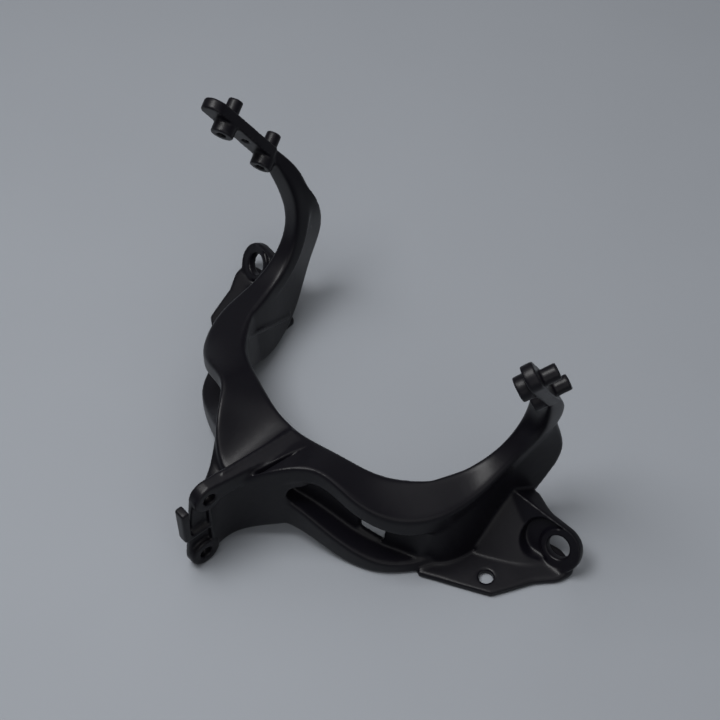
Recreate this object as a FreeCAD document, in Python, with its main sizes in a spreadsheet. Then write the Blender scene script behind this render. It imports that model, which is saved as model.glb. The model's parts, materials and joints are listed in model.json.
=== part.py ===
"""Fairing stay: one cast aluminium bracket that carries a motorbike's front cowl and mirrors.

X runs across the bike, Y runs from the bolted root back to the ears, and Z is up.
The origin is the middle of the lower lug's bolt hole. The casting lies on that lug and on the two tabs under the ears.
"""
import FreeCAD, Part
import math
import os

Vector = FreeCAD.Vector
ACROSS = Vector(1, 0, 0)
UP = Vector(0, 0, 1)

# Driving dimensions in millimetres and degrees, grouped by the feature they belong to.
SIZES = {
    # Deck: crest and edge radii, thickness along the inner edge, depth of the outer band.
    "crest_radius": 3.0,
    "edge_radius": 1.2,
    "deck_thickness": 8.0,
    "band_depth": 19.0,
    "arm_depth": 14.0,
    "deck_wall": 5.0,
    "deck_roof": 5.5,
    # Web under the arm, the wall behind its side window and the slot in that wall.
    "web_wall": 5.0,
    "wall_thickness": 5.0,
    "slot_x": 83.5,
    "slot_y": 96.5,
    "slot_z": 30.0,
    "slot_length": 20.0,
    "slot_height": 18.0,
    # Root plate: two lugs for cross bolts, a thinner web between them and a locating hook.
    "root_left": 5.0,
    "root_web": 5.0,
    "lug_width": 9.5,
    "lug_radius": 12.0,
    "lug_hole_radius": 4.8,
    "upper_lug_y": 9.0,
    "upper_lug_z": 72.5,
    "lower_lug_y": 0.5,
    "lower_lug_z": 12.0,
    "hook_front": -15.0,
    "hook_thickness": 6.5,
    "hook_bottom": 41.0,
    "hook_height": 32.0,
    "stem_bottom": 38.5,
    "stem_height": 4.5,
    # Hollow body between the root plate and the two arms.
    "body_wall": 6.0,
    # Central rib that runs back from the upper lug over the deck.
    "rib_front_z": 85.0,
    "rib_rear_y": 89.0,
    "rib_rear_z": 75.2,
    "rib_rear_right": 22.0,
    "bead_left": 7.4,
    "bead_width": 2.8,
    "bead_height": 1.4,
    "bead_start": 24.0,
    # Low rib across the inner wall of each arm.
    "arm_rib_width": 3.6,
    "arm_rib_stand": 2.2,
    "arm_rib_root": 3.0,
    # Ear: a cup with a raised ring round the grommet hole, on a web that thickens toward the arm.
    "ear_x": 178.4,
    "ear_y": 187.8,
    "ear_z": 20.0,
    "ear_turn": 11.9,
    "ear_tilt": 28.7,
    "ear_radius": 18.0,
    "ear_thickness": 8.5,
    "ear_web_thickness": 19.0,
    "ear_neck": 16.0,
    "ear_shoulder": 32.0,
    "ear_reach": 48.0,
    "ear_crown": 23.0,
    "ear_recess_radius": 15.8,
    "ear_recess_depth": 5.0,
    "ear_recess_run": 12.0,
    "ear_ring_radius": 14.5,
    "ear_ring_height": 4.0,
    "ear_hole_radius": 8.8,
    # Left ear and tab: how much nearer the middle and further back they sit than the right ones.
    "left_ear_in": 7.5,
    "left_ear_back": 6.0,
    # Toe: the sloping front of the ear, from its crown by the arm down to a line on the tab.
    "toe_arm_x": 137.0,
    "toe_arm_y": 142.3,
    "toe_arm_depth": 41.0,
    "toe_lobe_x": 174.0,
    "toe_lobe_y": 163.7,
    "toe_lobe_depth": 17.0,
    "toe_lobe_start": 6.0,
    "toe_lobe_drop": 17.0,
    # Diamond tab under the ear.
    "tab_thickness": 6.0,
    "tab_hole_x": 156.5,
    "tab_hole_y": 140.0,
    "tab_hole_radius": 5.4,
    # Mirror tip: a plate with two bosses in front and two collars behind.
    "tip_x": 154.0,
    "tip_y": 167.9,
    "tip_z": 207.8,
    "tip_turn": 25.6,
    "tip_lean": 24.2,
    "tip_roll": 22.7,
    "tip_thickness": 8.5,
    "tip_half_width": 9.4,
    "tip_end": 16.0,
    "mirror_pitch": 49.5,
    "boss_radius": 8.6,
    "boss_length": 8.5,
    "collar_radius": 5.65,
    "collar_length": 11.0,
    "mirror_hole_radius": 3.3,
    "dimple_radius": 2.6,
    "dimple_depth": 4.0,
}

# Stations of the right arm's deck, from the middle of the casting up to the throat:
# the outer crest, the inner crest, and the way the side walls run down from them.
DECK = {
    "middle": ((0, 33, 67), (0, 91, 74.5), (0, 0, -1)),
    "shoulder": ((26.5, 46, 82), (16, 92.3, 74.5), (0, 0, -1)),
    "hump": ((53, 71.5, 89), (45, 99, 76.8), (0, 0, -1)),
    "slope": ((80, 79, 79.5), (68, 107.5, 73.8), (0, 0, -1)),
    "bow": ((105, 95, 64.8), (87, 120.5, 70), (0, 0, -1)),
    "turn": ((123.5, 126, 59.5), (102, 144, 67.8), (0, 0, -1)),
    "foot": ((128, 158, 62.5), (109, 166.5, 69.2), (0, 0.3, -1)),
    "rise": ((130, 181.5, 76), (114.8, 186.2, 80), (0, 0.9, -0.8)),
    "neck": ((137, 199, 97), (120, 199, 106), (0, 1, -0.3)),
    "throat": ((146, 196, 136), (126, 199, 142), (0.2, 0.95, 0.2)),
}

# Stations of the web that hangs from the arm's deck back to its rear edge: two corners hidden in the deck,
# the inner corner of the far edge, that edge's width, and the level of its outer corner.
WEB = {
    "window_end": ((120, 118, 57), (98, 134, 66), (92, 136, 16), 34, 3),
    "heel": ((125.5, 146, 57), (106, 158, 65), (100, 158, 8), 40.5, 2),
    "ear_root": ((128, 172, 61), (112, 177, 66), (121, 198, 14), 14, 9),
    "back_low": ((129, 190, 74), (116, 193, 77), (131, 219, 38), 8, 38),
    "back_high": ((134, 203, 92), (120, 204, 98), (131, 231, 66), 10, 66),
    "corner": ((138, 206, 104), (121, 207, 110), (124, 227.5, 96), 13, 96),
    "nape": ((143, 203, 126), (125, 206, 130), (121, 219, 123), 12, 123),
    "crown": ((147, 198, 148), (131, 200, 151), (128, 208.5, 145), 16, 145),
}

# Stations of the wall behind the side window, from the body to the web: outer corner at its foot on the rail,
# outer corner at its top under the deck, and how far its outer face stands forward to seat on the rail.
WALL = {
    "body": ((12, 60, 48), (11, 66, 70), 2),
    "fork": ((52, 80, 34), (51, 86, 72), 2),
    "sag": ((76, 91, 20), (74, 97, 70), 2),
    "bend": ((94, 100.5, 13), (91, 107, 64), 2),
    "run": ((106, 107, 10), (103, 114, 60), 1),
    "web": ((118.5, 114, 10), (117.5, 119, 55), 0),
    "end": ((122, 127, 10), (121.5, 131, 52), 0),
}

# Ends of the low rib on the arm's inner wall, at the wall's face.
ARM_RIB = {
    "front": (87.5, 117.5, 63.5),
    "back": (112.5, 181.5, 18.2),
}

# Stations of the skirt under the deck's inner edge, from the arm's middle to the web: top and foot of its inner face.
SKIRT = {
    "start": ((60, 104, 72), (60.5, 104.4, 66)),
    "quarter": ((74, 112, 70), (74.5, 112.8, 47)),
    "half": ((86, 121.5, 68.5), (85, 123, 27)),
    "web": ((98, 135.5, 66.5), (92.4, 137, 16)),
}

# Stations of the lower rail, from the body to the heel of the arm: outer and inner top corner, height,
# and how far the foot of its outer face stands out.
RAIL = {
    "body": ((36, 57, 46), (24, 66, 46), 30, 0),
    "fork": ((61, 66, 34), (52, 80, 36), 24, 0),
    "sag": ((83, 75, 21), (76, 90, 22), 20, 0),
    "bend": ((103, 86.5, 14.5), (94, 99, 15), 14, 0),
    "run": ((115.5, 103, 12), (105, 110, 12), 11.3, 1.5),
    "heel": ((122.5, 124, 12), (112, 130, 12), 10, 7),
    "tail": ((127.5, 138, 11), (117, 143, 11), 9, 5),
}

# Corners of the diamond tab under the right ear and their radii.
TAB = {
    "front": (122, 105, 1.2),
    "nose": (168.8, 133.1, 6),
    "waist": (181.6, 162.5, 15),
    "cheek": (192.5, 177.5, 12),
    "rear": (195.5, 192, 6),
    "inside": (176, 197, 1.2),
    "root": (122, 182, 1.2),
    "heel": (114, 124, 1.2),
}

# Sections of the body, from the root plate back to the fork:
# place along Y, left, right, bottom, and the top at the left, the right and the middle.
BODY = {
    "root": (7, -4, 14.5, 6, 60, 64, 62),
    "waist": (33, -17, 14.8, 7, 64, 70, 62),
    "flare": (46, -27, 26.5, 13, 76, 76, 63),
    "fork": (58, -37.5, 37.5, 17, 81, 81, 64),
}

SIDES = {1: "right", -1: "left"}

doc = FreeCAD.newDocument("FairingStay")
sheet = doc.addObject("Spreadsheet::Sheet", "Sizes")


def write_sheet():
    """Put every driving dimension in the sheet under its own name."""
    rows = dict(SIZES)
    for label, (outer, inner, _) in DECK.items():
        for edge, point in (("outer", outer), ("inner", inner)):
            for axis, number in zip("xyz", point):
                rows[f"{label}_{edge}_{axis}"] = number
    for row, (name, number) in enumerate(rows.items(), start=1):
        sheet.set(f"A{row}", name)
        sheet.set(f"B{row}", str(number))
        sheet.setAlias(f"B{row}", name)
    doc.recompute()


def size(name):
    """Return one driving dimension."""
    return float(sheet.get(name))


def point(name):
    """Return a point whose three coordinates are driving dimensions."""
    return Vector(*(size(f"{name}_{axis}") for axis in "xyz"))


def rounded_wire(corners, radii):
    """Return a closed wire through the corners, each rounded by its own radius."""
    share = 0.49
    ends = []
    edges = []
    for index, corner in enumerate(corners):
        back = corners[index - 1] - corner
        ahead = corners[(index + 1) % len(corners)] - corner
        shorter = min(back.Length, ahead.Length)
        back.normalize()
        ahead.normalize()
        half = back.getAngle(ahead) / 2
        setback = min(radii[index] / math.tan(half), share * shorter)
        radius = setback * math.tan(half)
        start = corner + back * setback
        finish = corner + ahead * setback
        bisector = (back + ahead).normalize()
        middle = corner + bisector * (radius / math.sin(half) - radius)
        ends.append((start, middle, finish))
    for index, (start, middle, finish) in enumerate(ends):
        edges.append(Part.Arc(start, middle, finish).toShape())
        edges.append(Part.LineSegment(finish, ends[(index + 1) % len(ends)][0]).toShape())
    return Part.Wire(edges)


def outline(label, corners, radii):
    """Add a rounded closed outline to the document."""
    item = doc.addObject("Part::Feature", label)
    item.Shape = rounded_wire(corners, radii)
    return item


def rounded_ring(corners, setbacks):
    """Return the corners of a section with each rounded one replaced by points on its arc."""
    corner_weight = math.sqrt(0.5)
    ring = []
    for index, setback in enumerate(setbacks):
        corner = corners[index]
        if not setback:
            ring.append(corner)
            continue
        lead_in = corner + (corners[index - 1] - corner).normalize() * setback
        lead_out = corner + (corners[(index + 1) % len(corners)] - corner).normalize() * setback
        strips = max(1, round(setback))
        for step in range(strips + 1):
            share = step / strips
            first, second, third = (1 - share) ** 2, 2 * corner_weight * share * (1 - share), share ** 2
            ring.append((lead_in * first + corner * second + lead_out * third) / (first + second + third))
    return ring


def skin(left, right):
    """Return the surface ruled between two rails that share their knots."""
    poles = [list(pair) for pair in zip(left.getPoles(), right.getPoles())]
    surface = Part.BSplineSurface()
    surface.buildFromPolesMultsKnots(poles, left.getMultiplicities(), [2, 2], left.getKnots(), [0.0, 1.0],
                                     False, False, left.Degree, 1)
    return surface


def rail_solid(label, stations, setbacks):
    """Add a bar skinned over splines through the stations' corners, each corner rounded by its setback."""
    rings = [rounded_ring(station, setbacks) for station in stations]
    spans = [0.0]
    for before, after in zip(rings, rings[1:]):
        steps = [(second - first).Length for first, second in zip(before, after)]
        spans.append(spans[-1] + sum(steps) / len(steps))
    rails = []
    for points in zip(*rings):
        curve = Part.BSplineCurve()
        curve.interpolate(Points=list(points), Parameters=spans)
        rails.append(curve)
    surfaces = [skin(rails[index - 1], rail) for index, rail in enumerate(rails)]
    faces = [surface.toShape() for surface in surfaces]
    for end in (spans[0], spans[-1]):
        faces.append(Part.Face(Part.Wire([surface.uIso(end).toShape() for surface in surfaces])))
    joined = Part.Compound(faces)
    joined.sewShape()
    solid = Part.Solid(Part.Shell(joined.Faces))
    if solid.Volume < 0:
        solid.reverse()
    item = doc.addObject("Part::Feature", label)
    item.Shape = solid
    return item


def mirrored(station):
    """Return a station carried over to the left arm."""
    return [Vector(-corner.x, corner.y, corner.z) for corner in station]


def both_arms(stations):
    """Return the stations of the left arm, from its end, and then of the right arm."""
    first, *rest = stations
    return [mirrored(station) for station in reversed(rest)] + [first] + rest


def extrude(label, base, direction, length):
    """Extrude an outline along a direction by a named or worked-out length."""
    item = doc.addObject("Part::Extrusion", label)
    item.Base = base
    item.DirMode = "Custom"
    item.Dir = direction
    item.Solid = True
    item.LengthFwd = length
    return item


def cylinder(label, radius, length, base, axis):
    """Add a cylinder whose radius is bound to the sheet."""
    item = doc.addObject("Part::Cylinder", label)
    item.setExpression("Radius", f"Sizes.{radius}")
    item.Height = length
    item.Placement = FreeCAD.Placement(base, FreeCAD.Rotation(UP, axis))
    return item


def fuse(label, pieces):
    """Join pieces of the casting."""
    item = doc.addObject("Part::MultiFuse", label)
    item.Shapes = pieces
    return item


def common(label, first, second):
    """Keep what two shapes share."""
    item = doc.addObject("Part::MultiCommon", label)
    item.Shapes = [first, second]
    return item


def cut(label, base, tool):
    """Take one shape away from another."""
    item = doc.addObject("Part::Cut", label)
    item.Base = base
    item.Tool = tool
    return item


def tip_frame():
    """Return the mirror plate's middle at the upper hole, its bolt axis, and its way up and across."""
    turn, lean, roll = (math.radians(size(name)) for name in ("tip_turn", "tip_lean", "tip_roll"))
    axis = Vector(math.cos(lean) * math.sin(turn), math.cos(lean) * math.cos(turn), math.sin(lean))
    level = Vector(math.cos(turn), -math.sin(turn), 0)
    climb = level.cross(axis) * math.cos(roll) + level * math.sin(roll)
    return point("tip"), axis, climb, axis.cross(climb)


def ear_frame(hand):
    """Return the ear hole's middle on the ring, the way the ear faces, and its way along and up, for either side."""
    turn, tilt = (math.radians(size(name)) for name in ("ear_turn", "ear_tilt"))
    facing = Vector(hand * math.sin(turn) * math.cos(tilt), -math.cos(turn) * math.cos(tilt), math.sin(tilt))
    along = Vector(hand * math.cos(turn), math.sin(turn), 0)
    middle = Vector(hand * size("ear_x"), size("ear_y"), size("ear_z")) + ear_shift(hand)
    return middle, facing, along, facing.cross(along) * hand


def ear_shift(hand):
    """Return how far an ear and its tab stand off their mirrored place."""
    return Vector(size("left_ear_in"), size("left_ear_back"), 0) if hand < 0 else Vector()


def deck_stations():
    """Return the four corners of every deck section from the middle of the casting to the mirror plate."""
    stations = []
    for label, (_, _, fall) in DECK.items():
        level = fall == (0, 0, -1)
        fall = Vector(fall).normalize()
        outer = point(f"{label}_outer")
        inner = point(f"{label}_inner")
        inner_depth = size("deck_thickness") if level else size("arm_depth")
        outer_depth = size("band_depth") if level else size("arm_depth")
        stations.append([outer, inner, inner + fall * inner_depth, outer + fall * outer_depth])
    upper, axis, climb, across = tip_frame()
    inside = 0.9
    back = axis * size("tip_thickness") * inside
    side = across * size("tip_half_width") * inside
    plate_shares = (1.0, 0.6)
    for share in plate_shares:
        front = upper - climb * (size("mirror_pitch") * share) - back / 2
        stations.append([front + side, front - side, front - side + back, front + side + back])
    return stations


def make_deck():
    """Make the deck of both arms in one sweep and open its underside to a channel."""
    stations = deck_stations()
    crest = size("crest_radius")
    edge = size("edge_radius")
    bar = rail_solid("deck_bar", both_arms(stations), [crest, crest, edge, edge])
    wall = size("deck_wall")
    roof = size("deck_roof")
    channel = []
    for outer, inner, inner_foot, outer_foot in stations[:size_of_channel()]:
        inward = (inner - outer).normalize() * wall
        fall = (outer_foot - outer).normalize()
        top_outer = outer + inward + fall * roof
        top_inner = inner - inward + fall * roof
        past = fall * (2 * size("band_depth"))
        channel.append([top_outer, top_inner, top_inner + past, top_outer + past])
    hollow = rail_solid("deck_channel", both_arms(channel), [edge, edge, 0, 0])
    return cut("deck", bar, hollow)


def size_of_channel():
    """Return how many deck stations are level and so carry the channel."""
    return sum(1 for _, _, fall in DECK.values() if fall == (0, 0, -1))


def make_tip_plate():
    """Make the mirror plate: a straight bar with a round end."""
    upper, axis, climb, across = tip_frame()
    back = axis * size("tip_thickness")
    side = across * size("tip_half_width")
    top = upper + climb * (size("tip_end") + size("tip_half_width")) - back / 2
    foot = upper - climb * size("mirror_pitch") - back / 2
    face = outline("tip_face", [foot + side, top + side, top - side, foot - side],
                   [size("edge_radius"), size("tip_half_width"), size("tip_half_width"), size("edge_radius")])
    return extrude("tip_plate", face, axis, size("tip_thickness"))


def mirror_stations():
    """Return the middles of the two mirror holes on the plate, upper first."""
    upper, _, climb, _ = tip_frame()
    return [upper, upper - climb * size("mirror_pitch")]


def make_mirror_posts():
    """Make the boss in front of the plate and the collar behind it at both mirror holes."""
    _, axis, _, _ = tip_frame()
    posts = []
    half = size("tip_thickness") / 2
    for index, middle in enumerate(mirror_stations()):
        front = middle - axis * (half + size("boss_length"))
        posts.append(cylinder(f"boss_{index}", "boss_radius", size("boss_length") + half, front, axis))
        posts.append(cylinder(f"collar_{index}", "collar_radius", size("collar_length") + half, middle, axis))
    return posts


def make_arm_web():
    """Make the web from under the deck to the arm's rear edge, hollowed from below and from the window."""
    wall = size("web_wall")
    stations = []
    hollow = []
    for outer, inner, far, width, outer_level in WEB.values():
        outer, inner, far = Vector(outer), Vector(inner), Vector(far)
        side = (outer - inner).normalize()
        down = (far - inner).normalize()
        level = UP.cross(side.cross(down)).normalize()
        if level.dot(side) < 0:
            level = level * -1
        drop = down * ((far.z - outer_level) / -down.z)
        stations.append([outer, inner, far, far + level * width + drop])
        top_outer = outer - side * wall + down * wall
        top_inner = inner + side * wall + down * wall
        past = far + down * wall
        hollow.append([top_outer, top_inner, past + level * wall, past + level * (width - wall) + drop])
    hollow = hollow[:3]
    set_back = Vector(1, wall, 0)
    hollow[0] = [corner + set_back for corner in hollow[0]]
    edge = size("edge_radius")
    block = rail_solid("web_block", stations, [0, 0, edge, edge])
    return cut("arm_web", block, rail_solid("web_hollow", hollow, [edge, edge, 0, 0]))


def make_rail():
    """Make the lower rail that bows from the body to the heel."""
    stations = []
    for outer, inner, height, spread in RAIL.values():
        outer, inner = Vector(outer), Vector(inner)
        drop = UP * -height
        outward = (outer - inner).normalize() * spread
        stations.append([outer, inner, inner + drop, outer + drop + outward])
    edge = size("edge_radius")
    return rail_solid("rail", stations, [edge, edge, edge, edge])


def make_wall():
    """Make the wall behind the side window, with the slot in its upper half."""
    thickness = size("wall_thickness")
    stations = []
    across = Vector(-1, 2, 0).normalize()
    for foot, top, forward in WALL.values():
        foot, top = Vector(foot) - UP * thickness, Vector(top)
        inner = across * (thickness - forward)
        outer = across * -forward
        stations.append([top + outer, top + inner, foot + inner, foot + outer])
    wall = rail_solid("wall_plate", stations, [0, 0, 0, 0])
    height = size("slot_height")
    length = size("slot_length")
    middle = Vector(size("slot_x"), size("slot_y"), size("slot_z"))
    along = (Vector(*WALL["bend"][0]) - Vector(*WALL["fork"][0])).normalize()
    side = along * (length / 2)
    rise = UP * (height / 2)
    start = middle - Vector(0, length / 2, 0)
    near = [start - side - rise, start + side - rise, start + side + rise, start - side + rise]
    far = [corner + Vector(0, length, 0) for corner in near]
    return cut("wall", wall, rail_solid("slot", [near, far], [0, 0, 0, 0]))


def make_skirt():
    """Make the skirt that hangs from the deck's inner edge and deepens toward the web."""
    thickness = size("wall_thickness")
    stations = []
    for top, foot in SKIRT.values():
        top, foot = Vector(top), Vector(foot)
        outward = Vector(thickness / 2, -thickness, 0)
        stations.append([top + outward, top, foot, foot + outward])
    return rail_solid("skirt", stations, [0, 0, 0, 0])


def make_arm_rib():
    """Make the low rib that crosses the arm's inner wall from the deck to the rear edge."""
    front, back = (Vector(end) for end in ARM_RIB.values())
    inner = Vector(WEB["ear_root"][2]) - Vector(WEB["heel"][2])
    stand = UP.cross(inner).normalize()
    up = (back - front).cross(stand).normalize() * (size("arm_rib_width") / 2)
    stations = []
    for end in (front, back):
        face = end + stand * size("arm_rib_stand")
        root = end - stand * size("arm_rib_root")
        stations.append([face + up, root + up, root - up, face - up])
    return rail_solid("arm_rib", stations, [0, 0, 0, 0])


def body_stations(inset):
    """Return the corners of the body's sections, drawn in by the inset."""
    stations = []
    for along, left, right, bottom, left_top, right_top, middle_top in BODY.values():
        left, right, bottom = left + inset, right - inset, bottom + inset
        stations.append([Vector(left, along, bottom), Vector(right, along, bottom),
                         Vector(right, along, right_top - inset), Vector((left + right) / 2, along, middle_top - inset),
                         Vector(left, along, left_top - inset)])
    return stations


def make_body():
    """Make the body and hollow it from the back."""
    outside = rail_solid("body_skin", body_stations(0), [size("crest_radius"), size("crest_radius"), 0, 0, 0])
    hollow = rail_solid("body_hollow", body_stations(size("body_wall"))[1:], [size("edge_radius")] * 5)
    return cut("body", outside, hollow)


def make_root_plate():
    """Make the root plate: two bolt lugs, a thinner web between them, the hook and its stem."""
    left = size("root_left")
    upper = Vector(left, size("upper_lug_y"), size("upper_lug_z"))
    lower = Vector(left, size("lower_lug_y"), size("lower_lug_z"))
    radius = size("lug_radius")
    width = size("lug_width")
    lugs = [cylinder("upper_lug", "lug_radius", width, upper, ACROSS),
            cylinder("lower_lug", "lug_radius", width, lower, ACROSS)]
    forward = Vector(0, -radius, 0)
    behind = Vector(0, radius, 0)
    web = outline("root_web_outline", [upper + forward, upper + behind, lower + behind, lower + forward],
                  [size("edge_radius")] * 4)
    front = size("hook_front")
    back = front + size("hook_thickness")
    low = size("hook_bottom")
    high = low + size("hook_height")
    hook = outline("hook_outline", [Vector(left, front, low), Vector(left, back, low), Vector(left, back, high),
                                    Vector(left, front, high)], [size("edge_radius")] * 4)
    stem_low = size("stem_bottom")
    stem_high = stem_low + size("stem_height")
    reach = upper.y
    stem = outline("stem_outline", [Vector(left, front, stem_low), Vector(left, reach, stem_low),
                                    Vector(left, reach, stem_high), Vector(left, front, stem_high)],
                   [size("edge_radius")] * 4)
    return lugs + [extrude("root_web_plate", web, ACROSS, size("root_web")),
                   extrude("hook", hook, ACROSS, width), extrude("stem", stem, ACROSS, width)]


def make_rib():
    """Make the central rib, wider at its rear end where it runs out into the deck."""
    left = size("root_left")
    foot = size("upper_lug_z") - size("lug_radius") / 2
    stations = []
    for along, right, top in ((size("upper_lug_y"), left + size("lug_width"), size("rib_front_z")),
                              (size("rib_rear_y"), size("rib_rear_right"), size("rib_rear_z"))):
        stations.append([Vector(right, along, top), Vector(left, along, top), Vector(left, along, foot),
                         Vector(right, along, foot)])
    edge = size("edge_radius")
    fall = (size("rib_front_z") - size("rib_rear_z")) / (size("rib_rear_y") - size("upper_lug_y"))
    bead = []
    for along in (size("bead_start"), size("rib_rear_y")):
        low = size("bead_left")
        top = size("rib_front_z") - fall * (along - size("upper_lug_y"))
        high = top + size("bead_height")
        wide = low + size("bead_width")
        bead.append([Vector(wide, along, high), Vector(low, along, high), Vector(low, along, foot), Vector(wide, along, foot)])
    return [rail_solid("rib", stations, [edge, edge, 0, 0]), rail_solid("rib_bead", bead, [0, 0, 0, 0])]


def make_ear(hand):
    """Make the ear of one side: its lobe and web seen from the front, thinned from behind, with the cup cut in."""
    side = SIDES[hand]
    middle, facing, along, rise = ear_frame(hand)
    radius = size("ear_radius")
    reach = size("ear_reach") - ear_shift(hand).x * 2
    depth = size("ear_web_thickness")
    thin = size("ear_thickness")
    neck = size("ear_neck")
    shoulder = size("ear_shoulder")
    edge = size("edge_radius")
    front = middle + facing * (size("ear_recess_depth") - size("ear_ring_height"))
    corners = [front - along * reach + rise * size("ear_crown"), front + along * radius + rise * (radius * 0.8),
               front + along * radius - rise * radius, front - along * reach - rise * radius]
    face = outline(f"{side}_ear_face", corners, [edge, radius, radius, edge])
    slab = extrude(f"{side}_ear_slab", face, facing * -1, depth)
    low = front - rise * (2 * radius)
    back = facing * -1
    plan = outline(f"{side}_ear_plan", [low - along * (2 * reach), low + along * (2 * radius),
                                        low + along * (2 * radius) + back * thin, low - along * neck + back * thin,
                                        low - along * shoulder + back * depth, low - along * (2 * reach) + back * depth],
                   [edge, edge, edge, radius, edge, edge])
    prism = extrude(f"{side}_ear_prism", plan, rise, 4 * radius)
    lobe = common(f"{side}_ear_lobe", slab, prism)
    ground = doc.addObject("Part::Box", f"{side}_ear_ground")
    ground.Length = ground.Width = ground.Height = 4 * size("ear_reach")
    ground.Placement.Base = Vector(middle.x - ground.Length.Value / 2, middle.y - ground.Width.Value / 2, 0)
    shift = ear_shift(hand)
    base = size("tab_thickness") / 2
    arm_line = Vector(hand * size("toe_arm_x"), size("toe_arm_y"), base) + shift
    lobe_line = Vector(hand * size("toe_lobe_x"), size("toe_lobe_y"), base) + shift
    toe = [[front - along * reach + rise * (size("ear_crown") - edge), arm_line,
            arm_line + Vector(0, size("toe_arm_depth"), 0)],
           [front - along * size("toe_lobe_start") - rise * size("toe_lobe_drop"), lobe_line,
            lobe_line + Vector(0, size("toe_lobe_depth"), 0)]]
    block = fuse(f"{side}_ear_block", [common(f"{side}_ear_standing", lobe, ground),
                                       rail_solid(f"{side}_ear_toe", toe, [0, 0, 0])])
    run = size("ear_recess_run")
    well = size("ear_recess_radius")
    clear = facing * radius
    recess = outline(f"{side}_ear_recess_outline",
                     [front + clear - along * (well + run) + rise * well, front + clear + along * well + rise * well,
                      front + clear + along * well - rise * well, front + clear - along * (well + run) - rise * well],
                     [well] * 4)
    recess_cut = extrude(f"{side}_ear_recess", recess, back, radius + size("ear_recess_depth"))
    ring = cylinder(f"{side}_ear_ring", "ear_ring_radius", size("ear_ring_height"),
                    middle + back * size("ear_ring_height"), facing)
    return [cut(f"{side}_ear_cup", block, recess_cut), ring]


def make_tab(hand):
    """Make the flat diamond tab under the ear of one side."""
    shift = ear_shift(hand)
    corners = [Vector(hand * x, y, 0) + shift for x, y, _ in TAB.values()]
    base = outline(f"{SIDES[hand]}_tab_outline", corners, [radius for _, _, radius in TAB.values()])
    return extrude(f"{SIDES[hand]}_tab", base, UP, size("tab_thickness"))


def make_holes():
    """Return the drills of both sides: mirror, ear and tab holes and the dimple."""
    through = 80.0
    _, axis, climb, _ = tip_frame()
    places = [("mirror_hole", middle, through) for middle in mirror_stations()]
    dimple = mirror_stations()[0] - climb * size("mirror_pitch") / 2 - axis * (size("tip_thickness") / 2)
    places.append(("dimple", dimple, 2 * size("dimple_depth")))
    drills = []
    for hand, side in SIDES.items():
        bolt = Vector(hand * axis.x, axis.y, axis.z)
        for index, (name, middle, length) in enumerate(places):
            middle = Vector(hand * middle.x, middle.y, middle.z)
            drills.append(cylinder(f"{side}_{name}_{index}", f"{name}_radius", length, middle - bolt * length / 2, bolt))
        ear, facing, _, _ = ear_frame(hand)
        drills.append(cylinder(f"{side}_ear_hole", "ear_hole_radius", through, ear - facing * through / 2, facing))
        tab = Vector(hand * size("tab_hole_x"), size("tab_hole_y"), -through / 2) + ear_shift(hand)
        drills.append(cylinder(f"{side}_tab_hole", "tab_hole_radius", through, tab, UP))
    return drills


def make_lug_drills():
    """Return the drills for the two cross bolts of the root."""
    start = size("root_left") - size("lug_width")
    length = 3 * size("lug_width")
    drills = []
    for name in ("upper_lug", "lower_lug"):
        base = Vector(start, size(f"{name}_y"), size(f"{name}_z"))
        drills.append(cylinder(f"{name}_drill", "lug_hole_radius", length, base, ACROSS))
    return drills


def check(items):
    """Stop if any object failed or any shape is missing or bad."""
    for item in items:
        if "Invalid" in item.State or "Error" in item.State:
            raise RuntimeError(f"{item.Label} did not build")
        shape = getattr(item, "Shape", None)
        if shape is not None and (shape.isNull() or not shape.isValid()):
            raise RuntimeError(f"{item.Label} has a bad shape")


def main():
    write_sheet()
    half = fuse("right_side", [make_tip_plate(), make_arm_web(), make_rail(), make_wall(), make_skirt(),
                               make_arm_rib()] + make_mirror_posts())
    other = doc.addObject("Part::Mirroring", "left_side")
    other.Source = half
    other.Normal = ACROSS
    ends = [piece for hand in SIDES for piece in make_ear(hand) + [make_tab(hand)]]
    casting = fuse("casting", [make_deck(), half, other, make_body()] + make_rib() + make_root_plate() + ends)
    drills = doc.addObject("Part::Compound", "drills")
    drills.Links = make_holes() + make_lug_drills()
    drilled = cut("drilled", casting, drills)
    doc.recompute()
    stay = doc.addObject("Part::Feature", "fairing_stay")
    origin = Vector(size("root_left") + size("lug_width") / 2, size("lower_lug_y"), size("lower_lug_z"))
    stay.Shape = drilled.Shape.translated(origin * -1)
    check(doc.Objects)
    os.makedirs("parts", exist_ok=True)
    stay.Shape.exportStep(f"parts/{stay.Name}.step")


main()
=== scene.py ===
"""A fairing stay for a motorbike: one aluminium casting in satin black paint, seen as in the photo.

The casting's own mesh is rounded here as a foundry leaves it: soft edges, filled corners and a fine skin.
Lengths are in metres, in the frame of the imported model.
"""

import json
import math

import bmesh
import bpy
import numpy
from mathutils import Matrix, Vector


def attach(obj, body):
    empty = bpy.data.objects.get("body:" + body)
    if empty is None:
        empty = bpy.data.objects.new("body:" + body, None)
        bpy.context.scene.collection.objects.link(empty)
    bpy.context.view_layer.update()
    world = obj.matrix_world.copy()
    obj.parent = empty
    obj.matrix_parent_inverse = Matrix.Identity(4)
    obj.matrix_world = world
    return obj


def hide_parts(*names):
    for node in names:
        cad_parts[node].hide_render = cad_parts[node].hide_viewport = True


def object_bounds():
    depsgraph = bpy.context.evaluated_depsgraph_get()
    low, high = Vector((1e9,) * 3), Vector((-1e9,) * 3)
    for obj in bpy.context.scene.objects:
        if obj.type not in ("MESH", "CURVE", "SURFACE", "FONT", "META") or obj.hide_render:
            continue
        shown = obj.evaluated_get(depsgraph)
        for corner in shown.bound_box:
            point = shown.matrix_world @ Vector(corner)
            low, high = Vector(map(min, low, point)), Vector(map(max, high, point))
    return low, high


NODE = "fairing_stay"
BODY = "root"

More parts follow.
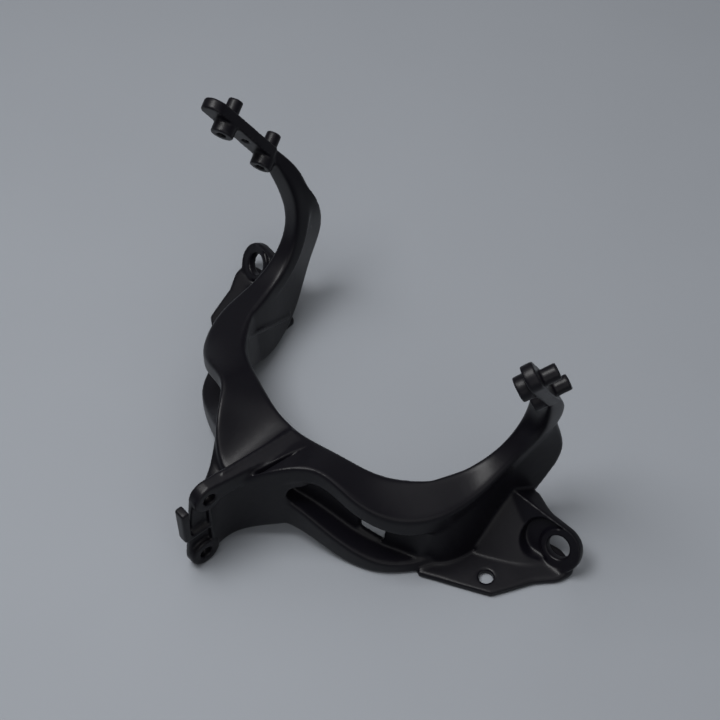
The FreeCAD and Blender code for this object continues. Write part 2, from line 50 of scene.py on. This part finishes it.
# The casting's mesh: grain, rounds of softening and size limit
VOXEL = 0.0008
SOFTEN_ROUNDS = 6
SOFTEN_SHARE = 0.5
BODY_ROUNDS = 14
WEIGHT_STEPS = 20
TRIANGLE_LIMIT = 190000
SOLID_FACES = 3

# Places that stay crisp: round every mount but the ears, and round the ribs inside the arms
EAR_MOUNTS = "_ear"
MOUNT_CLOSE = 0.02
MOUNT_CLEAR = 0.034
ARM_RIBS = ((-0.1097, 0.1509, 0.0217), (0.0902, 0.1509, 0.0217))

# Round end of the right window, drawn on its outer face as lengths along and up; the left one mirrors it
MIRROR_PLANE = -0.00975
WINDOW_FOOT = Vector((0.02605, 0.0552, 0.0))
WINDOW_ALONG = Vector((0.66, 0.75, 0.0))
WINDOW_INWARD = Vector((-0.75, 0.66, 0.0))
WINDOW_MIDDLE = (0.0123, 0.0415)
WINDOW_RADIUS = 0.01
WINDOW_ANGLES = range(240, 80, -10)
WINDOW_RIM = (
    (0.018, 0.0542),
    (0.024, 0.0585),
    (0.024, 0.063),
    (-0.002, 0.063),
    (-0.002, 0.028),
    (0.0073, 0.028),
)
WINDOW_DEPTHS = (0.0006, 0.0125)

# Groove beside the middle rib: corners seen from above, the lowest height it reaches, depth and edge width
GROOVE_RIB_FOOT = (0.0088, 0.0405)
GROOVE_DECK_FOOT = (0.0153, 0.0485)
GROOVE_TIP = (0.0183, 0.0885)
GROOVE_LEVEL = 0.058
GROOVE_DEPTH = 0.006
GROOVE_SLOPE = 0.0012

# Black paint: colours, shine, where edges count as worn, patches and the bumps of its skin
PAINT_COLOUR = (0.0032, 0.0029, 0.0048, 1.0)
PAINT_WORN = (0.02, 0.02, 0.022, 1.0)
PAINT_SHINE = 0.18
ROUGHNESS_LOW = 0.32
ROUGHNESS_HIGH = 0.4
WORN_START = 0.53
WORN_FULL = 0.62
PATCH_SCALE = 45.0
PATCH_DETAIL = 4.0
PATCH_ROUGHNESS = 0.6
PEEL_SCALE = 900.0
PEEL_DETAIL = 2.0
PEEL_SHARE = 0.35
SKIN_SCALE = 160.0
SKIN_DETAIL = 3.0
BUMP_STRENGTH = 0.22
BUMP_DISTANCE = 0.0004

# Table top
FLOOR_HALF = 3.0
FLOOR_COLOUR = (0.25, 0.267, 0.294, 1.0)
FLOOR_SHADE = 0.94
FLOOR_ROUGHNESS = 0.75
MOTTLE_SCALE = 6.0
MOTTLE_DETAIL = 5.0

# Sky, and lamps as name, place, point faced, width and watts
SKY_COLOUR = (0.97, 0.98, 1.0, 1.0)
SKY_STRENGTH = 0.14
LAMPS = (
    ("key", (-0.26, -0.24, 1.46), (0.0, 0.1, 0.0), 0.7, 18.0),
    ("fill", (1.3, -0.35, 0.9), (0.0, 0.1, 0.0), 1.4, 5.5),
    ("top", (-0.45, 0.25, 1.6), (-0.45, 0.25, 0.0), 2.4, 12.5),
)

# The photo's viewpoint, with the lens and sensor in millimetres
CAMERA_PLACE = (0.52365, -0.3073, 0.9829)
CAMERA_RIGHT = (0.656, 0.755, 0.0)
CAMERA_BACK = (0.464, -0.404, 0.788)
CAMERA_LENS = 80.0
SENSOR_WIDTH = 36.0


def add_node(tree, kind, **values):
    """A shader node with its sockets or properties set by name."""
    node = tree.nodes.new(kind)
    for name, value in values.items():
        if name in node.inputs:
            node.inputs[name].default_value = value
        else:
            setattr(node, name, value)
    return node


def paint_material():
    """Satin black paint: a fine orange-peel skin, dull patches, and edges rubbed a little paler."""
    material = bpy.data.materials.new("satin_black_paint")
    material.use_nodes = True
    tree = material.node_tree
    shader = tree.nodes["Principled BSDF"]
    shader.inputs["Specular IOR Level"].default_value = PAINT_SHINE
    place = add_node(tree, "ShaderNodeTexCoord")

    edge = add_node(tree, "ShaderNodeNewGeometry")
    worn = add_node(tree, "ShaderNodeMapRange", **{"From Min": WORN_START, "From Max": WORN_FULL})
    patches = add_node(
        tree, "ShaderNodeTexNoise", Scale=PATCH_SCALE, Detail=PATCH_DETAIL, Roughness=PATCH_ROUGHNESS
    )
    rubbed = add_node(tree, "ShaderNodeMath", operation="MULTIPLY")
    colour = add_node(tree, "ShaderNodeMix", data_type="RGBA")
    colour.inputs["A"].default_value = PAINT_COLOUR
    colour.inputs["B"].default_value = PAINT_WORN
    tree.links.new(place.outputs["Object"], patches.inputs["Vector"])
    tree.links.new(edge.outputs["Pointiness"], worn.inputs["Value"])
    tree.links.new(worn.outputs["Result"], rubbed.inputs[0])
    tree.links.new(patches.outputs["Fac"], rubbed.inputs[1])
    tree.links.new(rubbed.outputs[0], colour.inputs["Factor"])
    tree.links.new(colour.outputs["Result"], shader.inputs["Base Color"])

    gloss = add_node(tree, "ShaderNodeMapRange", **{"To Min": ROUGHNESS_LOW, "To Max": ROUGHNESS_HIGH})
    tree.links.new(patches.outputs["Fac"], gloss.inputs["Value"])
    tree.links.new(gloss.outputs["Result"], shader.inputs["Roughness"])

    peel = add_node(tree, "ShaderNodeTexNoise", Scale=PEEL_SCALE, Detail=PEEL_DETAIL)
    skin = add_node(tree, "ShaderNodeTexNoise", Scale=SKIN_SCALE, Detail=SKIN_DETAIL)
    both = add_node(tree, "ShaderNodeMath", operation="MULTIPLY_ADD")
    both.inputs[1].default_value = PEEL_SHARE
    bump = add_node(tree, "ShaderNodeBump", Strength=BUMP_STRENGTH, Distance=BUMP_DISTANCE)
    tree.links.new(place.outputs["Object"], peel.inputs["Vector"])
    tree.links.new(place.outputs["Object"], skin.inputs["Vector"])
    tree.links.new(peel.outputs["Fac"], both.inputs[0])
    tree.links.new(skin.outputs["Fac"], both.inputs[2])
    tree.links.new(both.outputs[0], bump.inputs["Height"])
    tree.links.new(bump.outputs["Normal"], shader.inputs["Normal"])
    return material


def floor_material():
    """A matt pale blue-grey table top with a faint mottle."""
    material = bpy.data.materials.new("table_top")
    material.use_nodes = True
    tree = material.node_tree
    shader = tree.nodes["Principled BSDF"]
    place = add_node(tree, "ShaderNodeTexCoord")
    mottle = add_node(tree, "ShaderNodeTexNoise", Scale=MOTTLE_SCALE, Detail=MOTTLE_DETAIL)
    tone = add_node(tree, "ShaderNodeMix", data_type="RGBA")
    tone.inputs["A"].default_value = [FLOOR_SHADE * level for level in FLOOR_COLOUR[:3]] + [1.0]
    tone.inputs["B"].default_value = FLOOR_COLOUR
    tree.links.new(place.outputs["Object"], mottle.inputs["Vector"])
    tree.links.new(mottle.outputs["Fac"], tone.inputs["Factor"])
    tree.links.new(tone.outputs["Result"], shader.inputs["Base Color"])
    shader.inputs["Roughness"].default_value = FLOOR_ROUGHNESS
    return material


def apply_modifiers(piece):
    """Turns the piece's modifiers into its mesh."""
    bpy.context.view_layer.update()
    graph = bpy.context.evaluated_depsgraph_get()
    mesh = bpy.data.meshes.new_from_object(piece.evaluated_get(graph))
    piece.modifiers.clear()
    piece.data = mesh


def vertex_places(mesh):
    """The places of a mesh's vertices, a row each."""
    places = numpy.empty(3 * len(mesh.vertices), dtype=numpy.float32)
    mesh.vertices.foreach_get("co", places)
    return places.reshape(-1, 3)


def clear_of(places, spots, close, clear):
    """For each place, 0 where a spot is closer than close, 1 where all are beyond clear, a ramp between."""
    nearest = numpy.min([numpy.linalg.norm(places - numpy.array(spot), axis=1) for spot in spots], axis=0)
    return numpy.clip((nearest - close) / (clear - close), 0.0, 1.0)


def left_of(places, start, end):
    """How far each place lies to the left of a line, seen from above."""
    along = numpy.array(end) - numpy.array(start)
    off = places[:, :2] - numpy.array(start)
    return (along[0] * off[:, 1] - along[1] * off[:, 0]) / numpy.linalg.norm(along)


def round_window_ends(mesh):
    """Fills the corners of both windows' ends by the middle, so that they end round."""
    section = []
    for angle in WINDOW_ANGLES:
        along = WINDOW_MIDDLE[0] + WINDOW_RADIUS * math.cos(math.radians(angle))
        up = WINDOW_MIDDLE[1] + WINDOW_RADIUS * math.sin(math.radians(angle))
        section.append((along, up))
    section.extend(WINDOW_RIM)
    shape = bmesh.new()
    shape.from_mesh(mesh)
    for hand in (1, -1):
        rings = []
        for depth in WINDOW_DEPTHS:
            ring = []
            for along, up in section:
                place = WINDOW_FOOT + WINDOW_ALONG * along + WINDOW_INWARD * depth
                across = MIRROR_PLANE + hand * (place.x - MIRROR_PLANE)
                ring.append(shape.verts.new((across, place.y, up)))
            rings.append(ring)
        front, back = rings
        shape.faces.new(front)
        shape.faces.new(reversed(back))
        for index in range(len(section)):
            shape.faces.new((front[index], front[index - 1], back[index - 1], back[index]))
    shape.to_mesh(mesh)
    shape.free()


def press_groove(mesh):
    """Presses the groove that tapers along the foot of the middle rib into the deck."""
    places = vertex_places(mesh)
    corners = (GROOVE_RIB_FOOT, GROOVE_DECK_FOOT, GROOVE_TIP)
    sides = [left_of(places, corners[index - 1], corner) for index, corner in enumerate(corners)]
    inside = numpy.min(sides, axis=0)
    inside[places[:, 2] < GROOVE_LEVEL] = 0.0
    places[:, 2] -= GROOVE_DEPTH * numpy.clip(inside / GROOVE_SLOPE, 0.0, 1.0)
    mesh.vertices.foreach_set("co", places.ravel())
    mesh.update()


def add_softening(piece, name, rounds, weights):
    """Rounds the piece's edges where the weights are high."""
    group = piece.vertex_groups.new(name=name)
    steps = numpy.rint(WEIGHT_STEPS * weights).astype(int)
    for step in range(1, WEIGHT_STEPS + 1):
        group.add(numpy.flatnonzero(steps == step).tolist(), step / WEIGHT_STEPS, "REPLACE")
    soften = piece.modifiers.new(name, "CORRECTIVE_SMOOTH")
    soften.iterations = rounds
    soften.factor = SOFTEN_SHARE
    soften.use_only_smooth = True
    soften.vertex_group = name


def drop_specks(mesh):
    """Deletes the tiny loose flakes that thinning leaves: only their points have so few faces."""
    shape = bmesh.new()
    shape.from_mesh(mesh)
    loose = [vertex for vertex in shape.verts if len(vertex.link_faces) < SOLID_FACES]
    bmesh.ops.delete(shape, geom=loose, context="VERTS")
    shape.to_mesh(mesh)
    shape.free()


def cast_casting(node, mounts, material):
    """The casting with its edges rounded and its inner corners filled, in place of the sharp solid."""
    piece = bpy.data.objects.new("casting", node.data.copy())
    bpy.context.scene.collection.objects.link(piece)
    round_window_ends(piece.data)
    remesh = piece.modifiers.new("remesh", "REMESH")
    remesh.mode = "VOXEL"
    remesh.voxel_size = VOXEL
    apply_modifiers(piece)
    places = vertex_places(piece.data)
    crisp = [mount["pos_m"] for mount in mounts if not mount["name"].endswith(EAR_MOUNTS)]
    crisp.extend(ARM_RIBS)
    add_softening(piece, "body", BODY_ROUNDS, clear_of(places, crisp, MOUNT_CLOSE, MOUNT_CLEAR))
    apply_modifiers(piece)
    press_groove(piece.data)
    add_softening(piece, "all", SOFTEN_ROUNDS, numpy.ones(len(places)))
    apply_modifiers(piece)
    piece.vertex_groups.clear()
    piece.data.calc_loop_triangles()
    thin = piece.modifiers.new("thin", "DECIMATE")
    thin.ratio = min(1.0, TRIANGLE_LIMIT / len(piece.data.loop_triangles))
    apply_modifiers(piece)
    drop_specks(piece.data)
    piece.data.materials.clear()
    piece.data.materials.append(material)
    for face in piece.data.polygons:
        face.use_smooth = True
    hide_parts(NODE)
    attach(piece, BODY)


def add_floor(level):
    """The table top that the casting lies on."""
    mesh = bpy.data.meshes.new("floor")
    corners = ((-1, -1), (1, -1), (1, 1), (-1, 1))
    mesh.from_pydata([(x * FLOOR_HALF, y * FLOOR_HALF, level) for x, y in corners], [], [(0, 1, 2, 3)])
    mesh.materials.append(floor_material())
    floor = bpy.data.objects.new("floor", mesh)
    bpy.context.scene.collection.objects.link(floor)


def add_lamp(name, place, target, width, power):
    """A soft square lamp that faces a point."""
    data = bpy.data.lights.new(name, "AREA")
    data.size = width
    data.energy = power
    lamp = bpy.data.objects.new(name, data)
    lamp.location = place
    lamp.rotation_euler = (Vector(target) - Vector(place)).to_track_quat("-Z", "Y").to_euler()
    bpy.context.scene.collection.objects.link(lamp)


def add_sky():
    """Even light from all round."""
    world = bpy.data.worlds.new("sky")
    world.use_nodes = True
    back = world.node_tree.nodes["Background"]
    back.inputs["Color"].default_value = SKY_COLOUR
    back.inputs["Strength"].default_value = SKY_STRENGTH
    bpy.context.scene.world = world


def add_camera():
    """The photo's viewpoint."""
    data = bpy.data.cameras.new("camera")
    data.lens = CAMERA_LENS
    data.sensor_width = SENSOR_WIDTH
    camera = bpy.data.objects.new("camera", data)
    back = Vector(CAMERA_BACK).normalized()
    right = Vector(CAMERA_RIGHT)
    right = (right - back * right.dot(back)).normalized()
    turn = Matrix((right, back.cross(right), back)).transposed().to_4x4()
    camera.matrix_world = Matrix.Translation(CAMERA_PLACE) @ turn
    bpy.context.scene.collection.objects.link(camera)
    bpy.context.scene.camera = camera


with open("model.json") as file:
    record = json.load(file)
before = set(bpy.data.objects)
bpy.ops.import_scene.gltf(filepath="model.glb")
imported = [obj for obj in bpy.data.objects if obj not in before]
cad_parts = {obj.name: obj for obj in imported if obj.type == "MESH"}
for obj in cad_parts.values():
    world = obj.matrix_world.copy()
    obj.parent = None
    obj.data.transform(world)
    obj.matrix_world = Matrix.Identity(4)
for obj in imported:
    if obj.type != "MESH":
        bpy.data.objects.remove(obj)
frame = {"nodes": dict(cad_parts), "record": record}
cad_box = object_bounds()
bpy.context.scene.view_settings.view_transform = "Standard"

cast_casting(frame["nodes"][NODE], frame["record"]["mounts"], paint_material())
add_floor(cad_box[0][2])
for lamp in LAMPS:
    add_lamp(*lamp)
add_sky()
add_camera()
